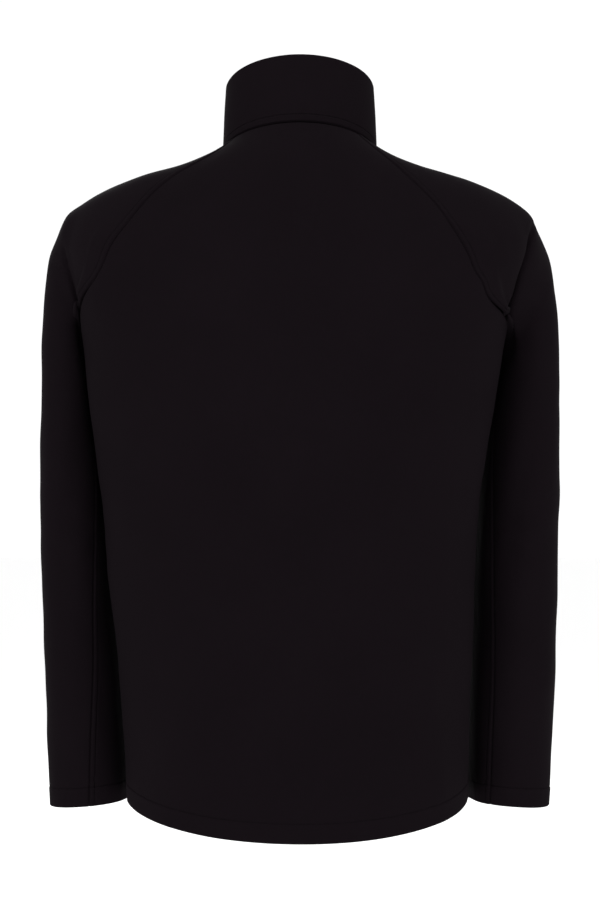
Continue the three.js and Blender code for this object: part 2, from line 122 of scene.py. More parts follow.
def spline(rows):
    """natural cubic spline through rows of values at 0, 1, 2 ..."""
    y = np.asarray(rows, float)
    n = len(y)
    m = np.zeros_like(y)
    cp = np.zeros(n)
    for i in range(1, n - 1):
        den = 4.0 - cp[i - 1]
        cp[i] = 1.0 / den
        m[i] = (6 * (y[i + 1] - 2 * y[i] + y[i - 1]) - m[i - 1]) / den
    for i in range(n - 2, 0, -1):
        m[i] = m[i] - cp[i] * m[i + 1]

    def at(t):
        t = np.asarray(t, float)
        i = np.clip(np.floor(t).astype(int), 0, n - 2)
        u = (t - i)[..., None]
        a = 1 - u
        return a * y[i] + u * y[i + 1] + ((a**3 - a) * m[i] + (u**3 - u) * m[i + 1]) / 6

    return at


ring_at, raglan_table, tube_at = spline(RINGS), spline(RAGLAN), spline(TUBE)
turn_at, fold_at, collar_at = spline(TURN_UP), spline(FOLD), spline(COLLAR)


def smooth(t):
    t = np.clip(t, 0, 1)
    return t * t * (3 - 2 * t)


def raglan_at(v):
    """angles of the four raglan seams; the back right one runs straight on down to the underarm"""
    G = raglan_table(v).copy()
    G[..., 1] += STRAIGHT_ON * smooth((np.asarray(v, float) - 6.65) / 0.85) * smooth((UNDERARM - np.asarray(v, float)) / 0.43)
    return G


def unit(a):
    return a / np.maximum(np.linalg.norm(a, axis=-1, keepdims=True), 1e-9)


def lame(c, q, n):
    return (np.abs(c) ** n + np.abs(q) ** n) ** (-1.0 / n)


def section(R, angle):
    xl, xr, ys, zs, tilt, yb, zb, yf, zf, n = [R[..., i] for i in range(10)]
    c, q = np.cos(angle), np.sin(angle)
    r = lame(c, q, n)
    c, q = c * r, q * r
    return np.stack([
        np.where(c > 0, xl, xr) * c,
        ys + np.where(q > 0, yb - ys, ys - yf) * q,
        zs + tilt * q + np.where(q > 0, zb - zs - tilt, zf - zs + tilt) * q * q,
    ], -1)


def ring(v, angle):
    v, angle = np.broadcast_arrays(np.asarray(v, float), np.asarray(angle, float))
    return section(ring_at(v), angle)


def on_side(side, degrees):
    return np.radians(degrees) if side > 0 else np.pi - np.radians(degrees)


def outline(side, y, z):
    """half width of the body at depth y and height z"""
    lo = np.full(np.shape(y), 3.0)
    hi = np.full(np.shape(y), HEM + 0.9)
    for _ in range(22):
        m = (lo + hi) / 2
        R = ring_at(m)
        back = y > R[..., 2]
        q = (y - R[..., 2]) / np.where(back, R[..., 5] - R[..., 2], R[..., 2] - R[..., 7])
        zz = R[..., 3] + R[..., 4] * q + np.where(q > 0, R[..., 6] - R[..., 3] - R[..., 4], R[..., 8] - R[..., 3] + R[..., 4]) * q * q
        lo, hi = np.where(zz > z, m, lo), np.where(zz > z, hi, m)
    w = R[..., 0] if side > 0 else R[..., 1]
    return w * np.maximum(0, 1 - np.minimum(1, np.abs(q)) ** R[..., 9]) ** (1 / R[..., 9])


def tube(side, v, psi):
    v, psi = np.broadcast_arrays(np.asarray(v, float), np.asarray(psi, float))
    T = tube_at(np.maximum(v - TUBE_TOP, 0))
    cx, a = (T[..., 1], T[..., 4]) if side > 0 else (T[..., 2], T[..., 5])
    c, q = np.cos(np.radians(psi)), np.sin(np.radians(psi))
    r = lame(c, q, T[..., 8])
    p0, p1, t = a * c * r, T[..., 6] * q * r, np.radians(T[..., 7])
    x = cx + p0 * np.cos(t) + p1 * np.sin(t)
    y = T[..., 3] - p0 * np.sin(t) + p1 * np.cos(t)
    z = T[..., 0] + CUFF_RISE * smooth(v - HEM + 1) * (cx - x) / (2 * a)
    return np.stack([side * x, y, z], -1)


def clear_of_body(side, p, room, soft):
    x = side * p[..., 0]
    edge = outline(side, p[..., 1], p[..., 2]) + room
    k = np.maximum(soft, 0.02)
    pushed = edge + k * np.logaddexp(0, (x - edge) / k)
    out = p.copy()
    out[..., 0] = side * np.where(x - edge > 40, x, pushed)
    return out


def sleeve(side, v, u):
    """v in ring numbers, u from the back edge (0) round the outside to the front edge (1)"""
    v, u = np.broadcast_arrays(np.asarray(v, float), np.asarray(u, float))
    vr = np.minimum(v, UNDERARM)
    G = raglan_at(vr)
    back, front = (G[..., 0], G[..., 2]) if side > 0 else (G[..., 1], G[..., 3])
    T = tube_at(np.maximum(v - TUBE_TOP, 0))
    low = v >= UNDERARM
    start = np.where(low, T[..., 9] if side > 0 else T[..., 10], 180)

    def on_ring(s):
        return ring(vr, on_side(side, back - (back + front) * s))

    def on_tube(s):
        return tube(side, v, start - 360 * s)

    hang = smooth(1 - (v - UNDERARM) / 0.8)
    corner = ring(UNDERARM, on_side(side, 0.0)) - tube(side, UNDERARM, 180.0)
    near = np.minimum(u, 1 - u)
    F = fold_at(np.clip(v - 5, 0, 3))
    band = 0.05 + 0.22 * smooth((7.2 - v) / 2.2)
    w = (smooth((u - F[..., 0 if side > 0 else 1] + band * 0.5) / band)
         * smooth((1 - u) / (0.04 + 0.56 * np.clip((8 - v) / 3, 0, 1)))
         * smooth((v - 4.4) / (1.8 + 1.8 * np.clip(u * 1.5 - 0.4, 0, 1))))
    w = np.where(low, 1.0, w)
    p = (1 - w)[..., None] * on_ring(u) + w[..., None] * on_tube(u)
    p = p + corner * np.where(low, hang * smooth(1 - near / 0.16), 0)[..., None]
    for e in (0, 1):
        angle = on_side(side, -front if e else back)
        seam = np.where(low[..., None], on_tube(float(e)) + corner * hang[..., None], on_ring(float(e)))
        d = 0.02 * side * (1 if e else -1)
        along = unit(ring(vr, angle + d) - ring(vr, angle))
        up = unit(np.cross(ring(vr + 0.01, angle) - ring(vr - 0.01, angle), ring(vr, angle + 0.01) - ring(vr, angle - 0.01)))
        turn = np.radians(turn_at(np.clip(v - 5, 0, 3))[..., e])
        reach = near * WIDTH_AT_CHEST
        goal = seam + along * (reach * np.cos(turn))[..., None] + up * (reach * np.sin(turn))[..., None]
        mine = (u >= 0.5) if e else (u < 0.5)
        k = np.where(mine & (near < TURN_REACH) & (v > 5), (1 - smooth(near / TURN_REACH)) * hang * smooth(v - 5), 0)[..., None]
        p = (1 - k) * p + k * goal
    far = np.where(low, np.maximum(smooth(near / 0.05), smooth((v - UNDERARM) / 0.6)), smooth(w / 0.35) * smooth(near / 0.05))
    pushed = clear_of_body(side, p, (ROOM[0] + (ROOM[1] - ROOM[0]) * smooth((v - UNDERARM) / 1.6)) * far, 4 * far)
    return np.where((v < 4.4)[..., None], p, pushed)


# ------------------------------------------------------------ folds and drape
# Soft creases as seen from behind or from in front: name, which side (1 back, -1 front), depth, width, points (x, z)
CREASES = [
    ("pinch_left_a", 1, 1.5, 2.0, [(254, -116), (250, -119), (246, -123)]),
    ("pinch_left_b", 1, 1.4, 2.2, [(259, -129), (252, -132), (245, -134)]),
    ("below_neck", 1, 1.6, 6.0, [(-20, 9), (-6, 8), (12, 9)]),
    ("sleeve_right_long", 1, 2.2, 13.0, [(-251, -268), (-240, -330), (-226, -400), (-214, -470)]),
    ("sleeve_left_long", 1, 1.4, 12.0, [(232, -300), (240, -360), (246, -430), (243, -500)]),
    ("body_low_right", 1, 2.4, 13.0, [(-158, -560), (-163, -600), (-168, -650), (-172, -690)]),
    ("body_low_left", 1, 1.2, 15.0, [(163, -590), (168, -640), (172, -685)]),
    ("blade_right", 1, 1.0, 18.0, [(-150, -190), (-176, -250), (-184, -310)]),
    ("blade_left", 1, 0.8, 18.0, [(160, -210), (182, -270), (190, -330)]),
    ("front_side_right", -1, 1.8, 14.0, [(-150, -240), (-162, -330), (-160, -420)]),
    ("front_side_left", -1, 1.6, 14.0, [(152, -250), (166, -340), (163, -430)]),
    ("front_hem_right", -1, 1.8, 14.0, [(-120, -560), (-138, -620), (-146, -676)]),
    ("front_hem_left", -1, 1.5, 14.0, [(126, -570), (142, -630), (150, -676)]),
    ("elbow_right", -1, 2.0, 9.0, [(-258, -372), (-238, -392), (-214, -398)]),
    ("elbow_right_b", -1, 1.6, 9.0, [(-256, -420), (-236, -432), (-212, -430)]),
    ("elbow_left", -1, 1.8, 9.0, [(260, -380), (240, -396), (216, -404)]),
    ("elbow_left_b", -1, 1.3, 9.0, [(256, -432), (238, -440), (216, -436)]),
    ("armpit_front_right", -1, 1.8, 7.0, [(-196, -122), (-186, -146), (-172, -166)]),
    ("armpit_front_left", -1, 1.7, 7.0, [(198, -124), (189, -148), (176, -168)]),
]


def crease_depth(P):
    """how far the folds press each point in, mm"""
    total = np.zeros(P.shape[:-1])
    for _, face, depth, width, pts in CREASES:
        pts = np.array(pts, float)
        box = ((P[..., 0] > pts[:, 0].min() - 4 * width) & (P[..., 0] < pts[:, 0].max() + 4 * width)
               & (P[..., 2] > pts[:, 1].min() - 4 * width) & (P[..., 2] < pts[:, 1].max() + 4 * width))
        if not box.any():
            continue
        q = P[box][:, [0, 2]]
        best = np.full(len(q), 1e9)
        along = np.zeros(len(q))
        for k in range(len(pts) - 1):
            a, b = pts[k], pts[k + 1]
            t = np.clip(((q - a) @ (b - a)) / ((b - a) @ (b - a)), 0, 1)
            d = np.linalg.norm(q - a - t[:, None] * (b - a), axis=1)
            along = np.where(d < best, (k + t) / (len(pts) - 1), along)
            best = np.minimum(best, d)
        fade = np.sin(np.pi * np.clip(0.12 + 0.76 * along, 0, 1)) ** 0.7
        sheer = smooth((face * P[box][:, 1] + 45) / 40)  # only the side that faces that way
        g = np.exp(-((best / width) ** 2)) - 0.45 * np.exp(-(((best - 1.9 * width) / (0.9 * width)) ** 2))
        total[box] += depth * fade * sheer * g
    return total


# where the sleeve's cloth laps over itself behind the arm: dip, lift, overhang, points (x, z)
ARM_FOLD = {
    -1: (7.0, 3.2, 6.5, [(-246, -78), (-243, -88), (-239, -103), (-236, -119), (-231, -143), (-227, -162), (-222, -177), (-218, -190), (-213, -208)]),
    1: (3.6, 1.6, 3.0, [(250, -96), (248, -112), (246, -130), (241, -148), (236, -166), (231, -190)]),
}


def fold_over(sheet, side, dip, lift, over, pts):
    """a fold whose outer side hangs over its inner side"""
    pts = np.array(pts, float)
    P = sheet.P
    q = P[..., [0, 2]]
    best = np.full(P.shape[:2], 1e9)
    s = np.zeros(P.shape[:2])
    along = np.zeros(P.shape[:2])
    for k in range(len(pts) - 1):
        a, b = pts[k], pts[k + 1]
        d = (b - a) / np.linalg.norm(b - a)
        t = np.clip(((q - a) @ d) / np.linalg.norm(b - a), 0, 1)
        off = q - a - t[..., None] * (b - a)
        dist = np.linalg.norm(off, axis=-1)
        n = np.array([d[1], -d[0]]) * -side
        hit = dist < best
        s = np.where(hit, dist * np.sign(off @ n), s)
        along = np.where(hit, (k + t) / (len(pts) - 1), along)
        best = np.minimum(best, dist)
    f = smooth(along / 0.30) * smooth((1 - along) / 0.12) * smooth((P[..., 1] + 30) / 30)
    f = f * (best < 40)
    t0 = (pts[-1] - pts[0]) / np.linalg.norm(pts[-1] - pts[0])
    outward = np.array([t0[1], -t0[0]]) * -side
    shift = over * f * smooth((s + 2) / 3) * np.exp(-((np.maximum(s - 1, 0) / 8) ** 2))
    P[..., 0] -= outward[0] * shift
    P[..., 2] -= outward[1] * shift
    sheet.out += f * (lift * smooth((s + 0.5) / 2.5) * np.exp(-((np.maximum(s - 2, 0) / 9) ** 2)) - dip * np.exp(-(((s + 2) / 2.6) ** 2)))


def drape(P, seed, size):
    """quiet unevenness of hanging cloth, mm"""
    rng = np.random.default_rng(seed)
    total = np.zeros(P.shape[:-1])
    for wave, amp in ((170, 0.9), (95, 0.5), (52, 0.22), (27, 0.09)):
        for _ in range(4):
            k = rng.normal(size=3)
            k[2] *= 0.55
            k *= 2 * np.pi / wave / np.linalg.norm(k)
            total += amp / 2 * np.sin(P @ k + rng.uniform(0, 6.28))
    return total * size


def ripple(t, seed):
    """puckers along a seam at distance t, -1 to 1"""
    rng = np.random.default_rng(seed)
    total = 0
    for wave in (6.1, 8.3, 11.7, 17.0):
        total = total + np.sin(t * 2 * np.pi / wave + rng.uniform(0, 6.28))
    return total / 2.6


# ------------------------------------------------------------ sheets of cloth
EDGE = np.array([0, 0.3, 0.65, 1.05, 1.5, 2.1, 2.9, 3.8, 4.6, 5.1, 5.5, 5.9, 6.4, 7.2, 8.4, 10.0])
STITCH_COL = 10           # the entry of EDGE that the topstitching follows


def blur(A, passes, rows=True, cols=True):
    for _ in range(passes):
        B = A.copy()
        if cols:
            B[:, 1:-1] = (A[:, :-2] + 2 * A[:, 1:-1] + A[:, 2:]) / 4
        A = B
        if rows:
            B = A.copy()
            B[1:-1] = (A[:-2] + 2 * A[1:-1] + A[2:]) / 4
            A = B
    return A


class Sheet:
    """A grid over one piece of cloth: rows follow vs, columns lie at set distances from its two side edges."""

    def __init__(self, fn, vs, middle, flip, closed=None, even_blur=2, gusset=None):
        self.vs = vs
        dense = np.linspace(0, 1, 261)
        D = fn(vs[:, None], dense[None, :])
        if gusset is not None:
            # the cloth under the arm draws tight between seam and sleeve
            near = np.minimum(dense, 1 - dense)[None, :]
            w = (gusset[:, None] * (1 - smooth((near - 0.12) / 0.10)))[..., None]
            edge = D[:, [0, -1]].copy()
            for _ in range(5):
                D = (1 - w) * D + w * blur(D, 16)
            gone = edge - D[:, [0, -1]]
            for j, t in ((0, dense), (1, 1 - dense)):
                D = D + gone[:, j:j + 1] * (1 - smooth(t / 0.09))[None, :, None]
        ends = D[:, [0, -1]].copy()
        D = blur(D, even_blur)
        D[:, [0, -1]] = ends
        dv, du = np.gradient(D, axis=0), np.gradient(D, axis=1)
        if closed is not None:
            joined = D[:, 1] - D[:, -2]
            for j in (0, -1):
                du[:, j] = np.where(closed[:, None], joined, du[:, j])
        N = unit(np.cross(dv, du)) * (-1 if flip else 1)
        N = unit(blur(N, 1))
        S = np.concatenate([np.zeros((len(vs), 1)), np.cumsum(np.linalg.norm(np.diff(D, axis=1), axis=2), axis=1)], 1)
        L = S[:, -1]
        self.flip, self.L = flip, L
        sines = []
        for j, k in ((0, 4), (-1, -5)):
            t_edge = unit(np.gradient(D[:, j], axis=0))
            t_row = unit(D[:, k] - D[:, j])
            s = np.linalg.norm(np.cross(t_edge, t_row), axis=1)
            s = np.clip(s, 0.45, 1)
            for _ in range(8):
                s[1:-1] = (s[:-2] + 2 * s[1:-1] + s[2:]) / 4
            sines.append(s)
        kl = np.minimum(1 / sines[0], L / 2.6 / EDGE[-1])
        kr = np.minimum(1 / sines[1], L / 2.6 / EDGE[-1])
        cols = [e * kl for e in EDGE]
        for m in range(1, middle + 1):
            t = m / (middle + 1)
            cols.append((1 - t) * EDGE[-1] * kl + t * (L - EDGE[-1] * kr))
        cols += [L - e * kr for e in EDGE[::-1]]
        s = np.stack(cols, 1)
        self.s = s
        self.from_left = s / kl[:, None]
        self.from_right = (L[:, None] - s) / kr[:, None]
        self.P = np.stack([np.stack([np.interp(s[i], S[i], D[i, :, c]) for i in range(len(vs))]) for c in range(3)], -1)
        self.N = unit(np.stack([np.stack([np.interp(s[i], S[i], N[i, :, c]) for i in range(len(vs))]) for c in range(3)], -1))
        step = np.linalg.norm(np.diff(self.P, axis=0), axis=2)
        run = np.concatenate([np.zeros((1, s.shape[1])), np.cumsum(step, 0)])
        self.from_top = run
        self.from_end = run[-1:] - run
        self.out = np.zeros(s.shape)      # how far the face stands out
        self.wall = np.full(s.shape, CLOTH)

    def slit(self, left=SEAM_SLIT, right=SEAM_SLIT, top=SEAM_SLIT, end=0.0):
        """draw the four edges back a little"""
        P = self.P
        P[:, 0] += unit(P[:, 1] - P[:, 0]) * left
        P[:, -1] += unit(P[:, -2] - P[:, -1]) * right
        P[0] += unit(P[1] - P[0]) * top
        P[-1] += unit(P[-2] - P[-1]) * end

    def roll(self, d, depth=1.25, width=1.15):
        """an edge that turns down into a seam"""
        self.out -= depth * np.exp(-((d / width) ** 2))

    def strip(self, d, line, height, seed, along, mask=1.0, dip=0.7):
        """the raised allowance between a seam and its topstitching"""
        rise = smooth((d - 0.4) / 1.2) * smooth((line - d + 0.5) / 1.0)
        ruck = 1 + 0.30 * ripple(along, seed)
        groove = dip * np.exp(-(((d - line) / 0.55) ** 2)) * (1 + 0.35 * ripple(along + 3, seed + 1))
        pull = 0.14 * ripple(along, seed + 2) * np.exp(-(((d - line) / 5.5) ** 2))
        self.out += mask * (height * rise * ruck - groove + pull)

    def hem(self, d, seed, along):
        """a turned-up, stitched edge at distance d"""
        self.strip(d, HEM_STITCH, 0.45, seed, along, dip=0.8)
        self.wall = np.maximum(self.wall, CLOTH + (HEM_WALL - CLOTH) * smooth((HEM_STITCH - d + 0.6) / 1.2))
        self.round_edge(d)

    def round_edge(self, d, radius=1.4):
        t = np.clip(1 - d / radius, 0, 1)
        drop = 1 - np.sqrt(np.maximum(0, 1 - t * t))
        self.out -= self.wall * 0.46 * drop
        self.wall = self.wall * (1 - 0.92 * drop)

    def face(self):
        return self.P + self.N * self.out[..., None]

    def faces_normal(self):
        A = self.face()
        n = unit(np.cross(np.gradient(A, axis=0), np.gradient(A, axis=1)))
        return n * (-1 if self.flip else 1)

    def allowances(self, A, B):
        """the seam allowance along the edges named in self.laps: (edge, first row, last row)"""
        across = self.s - self.s[:, :1] - self.L[:, None] / 2
        down = self.from_top
        low = B - self.N * 0.35
        if "top" in self.laps:
            run = unit(self.P[:1] - self.P[2:3])
            step = low[:1] + run * 1.5
            A = np.concatenate([step, low[:1], A])
            B = np.concatenate([step - self.N[:1] * 0.5, low[:1] - self.N[:1] * 0.5, B])
            across = np.concatenate([across[:1], across[:1], across])
            down = np.concatenate([down[:1] - 2, down[:1] - 1, down])
        for edge, j, k in (("left", 0, 2), ("right", -1, -3)):
            if edge not in self.laps:
                continue
            share = self.laps[edge][:, None]
            run = unit(self.P[:, j] - self.P[:, k])
            e0 = self.face()[:, j] * (1 - share) + low[:, j] * share
            e1 = e0 + run * 1.5 * share
            b0, b1 = e0 - self.N[:, j] * 0.5, e1 - self.N[:, j] * 0.5
            if "top" in self.laps:
                e0, e1, b0, b1 = [np.concatenate([x[:1], x[:1], x]) for x in (e0, e1, b0, b1)]
            order = (lambda x, y, z: np.stack([z, y], 1)) if j == 0 else (lambda x, y, z: np.stack([y, z], 1))
            A = np.concatenate([order(A, e0, e1), A] if j == 0 else [A, order(A, e0, e1)], 1)
            B = np.concatenate([order(B, b0, b1), B] if j == 0 else [B, order(B, b0, b1)], 1)
            ends = np.concatenate([across[:, j:j + 1] if j == 0 else across[:, -1:]] * 2, 1)
            across = np.concatenate([ends - 1, across] if j == 0 else [across, ends + 1], 1)
            ends = np.concatenate([down[:, :1] if j == 0 else down[:, -1:]] * 2, 1)
            down = np.concatenate([ends, down] if j == 0 else [down, ends], 1)
        return A, B, across, down

    laps = {}

    def build(self, name, outer, inner, slot):
        A = self.face()
        B = A - self.N * self.wall[..., None]
        A, B, s_, top_ = self.allowances(A, B)
        nr, nc = A.shape[:2]
        verts = np.concatenate([A.reshape(-1, 3), B.reshape(-1, 3)]) * MM
        idx = np.arange(nr * nc).reshape(nr, nc)
        a, b, c, d = idx[:-1, :-1], idx[1:, :-1], idx[1:, 1:], idx[:-1, 1:]
        top = np.stack([a, b, c, d], -1).reshape(-1, 4)
        bottom = np.stack([a, d, c, b], -1).reshape(-1, 4) + nr * nc
        k = nr * nc
        rim = [
            np.stack([idx[:-1, 0], idx[:-1, 0] + k, idx[1:, 0] + k, idx[1:, 0]], -1),
            np.stack([idx[:-1, -1], idx[1:, -1], idx[1:, -1] + k, idx[:-1, -1] + k], -1),
            np.stack([idx[0, :-1], idx[0, 1:], idx[0, 1:] + k, idx[0, :-1] + k], -1),
            np.stack([idx[-1, :-1], idx[-1, :-1] + k, idx[-1, 1:] + k, idx[-1, 1:]], -1),
        ]
        faces = np.concatenate([top, bottom, *rim])
        if self.flip:
            faces = faces[:, ::-1]
        mats = np.concatenate([np.zeros(len(top), int), np.ones(len(bottom), int), np.zeros(len(faces) - len(top) - len(bottom), int)])
        uv = np.stack([s_, top_], -1).reshape(-1, 2)
        uv = np.concatenate([uv, uv]) / 100
        o = mesh_object(name, verts, faces, [outer, inner], mats, uv)
        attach(o, "jacket")
        return o


def mesh_object(name, verts, faces, materials, mats=None, uv=None, smooth_faces=True):
    me = bpy.data.meshes.new(name)
    n = faces.shape[1]
    me.vertices.add(len(verts))
    me.vertices.foreach_set("co", np.ascontiguousarray(verts, np.float32).ravel())
    me.loops.add(faces.size)
    me.loops.foreach_set("vertex_index", np.ascontiguousarray(faces, np.int32).ravel())
    me.polygons.add(len(faces))
    me.polygons.foreach_set("loop_start", np.arange(0, faces.size, n, dtype=np.int32))
    for m in materials:
        me.materials.append(m)
    if mats is not None:
        me.polygons.foreach_set("material_index", np.ascontiguousarray(mats, np.int32))
    me.polygons.foreach_set("use_smooth", np.full(len(faces), smooth_faces))
    if uv is not None:
        layer = me.uv_layers.new(name="cloth")
        layer.data.foreach_set("uv", np.ascontiguousarray(uv[faces.ravel()], np.float32).ravel())
    me.update(calc_edges=True)
    me.validate()
    o = bpy.data.objects.new(name, me)
    bpy.context.scene.collection.objects.link(o)
    return o


# ------------------------------------------------------------ threads
def thread(name, lines, material):
    """rows of stitches; each line is (points, normals) in mm"""
    V, F = [], []
    sides, rings = 6, 5
    ang = np.arange(sides) * 2 * np.pi / sides
    base = 0
    for pts, nor in lines:
        seg = np.linalg.norm(np.diff(pts, axis=0), axis=1)
        run = np.concatenate([[0], np.cumsum(seg)])
        count = int(run[-1] / STITCH_PITCH)
        if count < 1:
            continue
        mid = (np.arange(count) + 0.5) * run[-1] / count
        ts = np.linspace(-0.5, 0.5, rings)
        for m in mid:
            at = m + ts * STITCH_LONG
            c = np.stack([np.interp(at, run, pts[:, k]) for k in range(3)], 1)
            n = unit(np.stack([np.interp(at, run, nor[:, k]) for k in range(3)], 1))
            d = unit(c[-1] - c[0])
            side = unit(np.cross(d, n))
            bow = np.sqrt(np.maximum(0, 1 - (ts * 2) ** 2))
            c = c + n * (STITCH_R * (0.8 * bow - 0.75))[:, None]
            r = STITCH_R * (0.45 + 0.55 * bow)
            for k in range(rings):
                V.append(c[k] + r[k] * (np.cos(ang)[:, None] * side[k] + np.sin(ang)[:, None] * n[k] * 0.8))
            for k in range(rings - 1):
                for j in range(sides):
                    a = base + k * sides + j
                    b = base + k * sides + (j + 1) % sides
                    F.append((a, b, b + sides, a + sides))
            # the ends close on a quad each side of the middle
            for k, turn in ((0, 1), (rings - 1, -1)):
                q = [base + k * sides + j for j in range(sides)]
                if turn > 0:
                    q = q[::-1]
                F.append((q[0], q[1], q[2], q[3]))
                F.append((q[0], q[3], q[4], q[5]))
            base += sides * rings
    o = mesh_object(name, np.concatenate(V) * MM, np.array(F), [material])
    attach(o, "jacket")
    return o


# ------------------------------------------------------------ materials
def material(name):
    m = bpy.data.materials.new(name)
    m.use_nodes = True
    t = m.node_tree
    return m, t, t.nodes["Principled BSDF"]


def add(t, kind, **values):
    n = t.nodes.new(kind)
    for k, v in values.items():
        if k.startswith("in_"):
            n.inputs[k[3:].replace("_", " ")].default_value = v
        else:
            setattr(n, k, v)
    return n


def cloth_material(name, dark, light, pitch, relief, rough, fuzz, spec, sheen, sheen_rough, tint):
    """woven cloth: pitch is the spacing of the threads in mm, relief their height"""
    m, t, b = material(name)
    uv = add(t, "ShaderNodeUVMap", uv_map="cloth")
    scale = 100.0 / pitch / (2 * math.pi) * 2 * math.pi
    sep = add(t, "ShaderNodeSeparateXYZ")
    t.links.new(uv.outputs["UV"], sep.inputs[0])

    def wave(axis, phase):
        k = add(t, "ShaderNodeMath", operation="MULTIPLY")
        k.inputs[1].default_value = scale * math.pi
        t.links.new(sep.outputs[axis], k.inputs[0])
        p = add(t, "ShaderNodeMath", operation="ADD")
        p.inputs[1].default_value = phase
        t.links.new(k.outputs[0], p.inputs[0])
        s = add(t, "ShaderNodeMath", operation="SINE")
        t.links.new(p.outputs[0], s.inputs[0])
        return s.outputs[0]

    a, c = wave("X", 0.0), wave("Y", 0.0)
    prod = add(t, "ShaderNodeMath", operation="MULTIPLY")
    t.links.new(a, prod.inputs[0])
    t.links.new(c, prod.inputs[1])
    half = add(t, "ShaderNodeMath", operation="MULTIPLY_ADD")
    half.inputs[1].default_value = 0.5
    half.inputs[2].default_value = 0.5
    t.links.new(prod.outputs[0], half.inputs[0])
    grain = add(t, "ShaderNodeTexNoise", in_Scale=900.0 * fuzz, in_Detail=3.0, in_Roughness=0.6)
    coords = add(t, "ShaderNodeTexCoord")
    t.links.new(coords.outputs["Object"], grain.inputs["Vector"])
    cloud = add(t, "ShaderNodeTexNoise", in_Scale=9.0, in_Detail=4.0, in_Roughness=0.55)
    t.links.new(coords.outputs["Object"], cloud.inputs["Vector"])
    mixv = add(t, "ShaderNodeMath", operation="MULTIPLY_ADD")
    mixv.inputs[1].default_value = 0.45
    t.links.new(half.outputs[0], mixv.inputs[0])
    g = add(t, "ShaderNodeMath", operation="MULTIPLY")
    g.inputs[1].default_value = 0.55
    t.links.new(grain.outputs["Fac"], g.inputs[0])
    t.links.new(g.outputs[0], mixv.inputs[2])
    ramp = add(t, "ShaderNodeValToRGB")
    ramp.color_ramp.elements[0].position = 0.2
    ramp.color_ramp.elements[0].color = (*dark, 1)
    ramp.color_ramp.elements[1].position = 0.85
    ramp.color_ramp.elements[1].color = (*light, 1)
    t.links.new(mixv.outputs[0], ramp.inputs[0])
    cr = add(t, "ShaderNodeMapRange")
    cr.inputs["From Min"].default_value = 0.3
    cr.inputs["From Max"].default_value = 0.7
    cr.inputs["To Min"].default_value = 0.94
    cr.inputs["To Max"].default_value = 1.06
    t.links.new(cloud.outputs["Fac"], cr.inputs["Value"])
    vary = add(t, "ShaderNodeVectorMath", operation="SCALE")
    t.links.new(ramp.outputs["Color"], vary.inputs[0])
    t.links.new(cr.outputs["Result"], vary.inputs["Scale"])
    t.links.new(vary.outputs[0], b.inputs["Base Color"])
    rr = add(t, "ShaderNodeMapRange")
    rr.inputs["To Min"].default_value = rough - 0.08
    rr.inputs["To Max"].default_value = min(1.0, rough + 0.06)
    t.links.new(mixv.outputs[0], rr.inputs["Value"])
    t.links.new(rr.outputs["Result"], b.inputs["Roughness"])
    bump = add(t, "ShaderNodeBump", in_Strength=0.65, in_Distance=relief * MM)
    t.links.new(mixv.outputs[0], bump.inputs["Height"])
    t.links.new(bump.outputs["Normal"], b.inputs["Normal"])
    b.inputs["Specular IOR Level"].default_value = spec
    b.inputs["Sheen Weight"].default_value = sheen
    b.inputs["Sheen Roughness"].default_value = sheen_rough
    b.inputs["Sheen Tint"].default_value = (*tint, 1)
    return m


def plain_material(name, dark, light, scale, rough, metal, spec, relief=0.05):
    """moulded or plated surface with fine mottling and wear"""
    m, t, b = material(name)
    coords = add(t, "ShaderNodeTexCoord")
    n = add(t, "ShaderNodeTexNoise", in_Scale=scale, in_Detail=5.0, in_Roughness=0.65)
    t.links.new(coords.outputs["Object"], n.inputs["Vector"])
    ramp = add(t, "ShaderNodeValToRGB")
    ramp.color_ramp.elements[0].position = 0.35
    ramp.color_ramp.elements[0].color = (*dark, 1)
    ramp.color_ramp.elements[1].position = 0.7
    ramp.color_ramp.elements[1].color = (*light, 1)
    t.links.new(n.outputs["Fac"], ramp.inputs[0])
    t.links.new(ramp.outputs["Color"], b.inputs["Base Color"])
    rr = add(t, "ShaderNodeMapRange")
    rr.inputs["To Min"].default_value = max(0.05, rough - 0.12)
    rr.inputs["To Max"].default_value = rough + 0.12
    t.links.new(n.outputs["Fac"], rr.inputs["Value"])
    t.links.new(rr.outputs["Result"], b.inputs["Roughness"])
    bump = add(t, "ShaderNodeBump", in_Strength=0.4, in_Distance=relief * MM)
    t.links.new(n.outputs["Fac"], bump.inputs["Height"])
    t.links.new(bump.outputs["Normal"], b.inputs["Normal"])
    b.inputs["Metallic"].default_value = metal
    b.inputs["Specular IOR Level"].default_value = spec
    return m


FACE = cloth_material("softshell_face", (0.0027, 0.0018, 0.0024), (0.0074, 0.0051, 0.0068), 0.62, 0.10, 0.93, 1.0, 0.02, 0.004, 0.5, (0.80, 0.70, 0.80))
FLEECE = cloth_material("softshell_fleece", (0.0030, 0.0020, 0.0028), (0.0085, 0.0062, 0.0078), 1.7, 0.35, 0.95, 0.45, 0.02, 0.02, 0.6, (0.8, 0.72, 0.8))
THREAD = plain_material("thread", (0.0012, 0.0010, 0.0012), (0.0042, 0.0032, 0.0040), 2600.0, 0.70, 0.0, 0.03, 0.03)
TAPE = cloth_material("zip_tape_weave", (0.004, 0.003, 0.004), (0.012, 0.010, 0.012), 0.8, 0.12, 0.85, 1.0, 0.10, 0.03, 0.5, (0.8, 0.78, 0.8))
COIL = plain_material("zip_coil_nylon", (0.0030, 0.0028, 0.0031), (0.0075, 0.0068, 0.0075), 900.0, 0.50, 0.0, 0.16)
METAL = plain_material("zip_painted_metal", (0.0050, 0.0050, 0.0054), (0.0130, 0.0126, 0.0132), 350.0, 0.40, 0.0, 0.35)

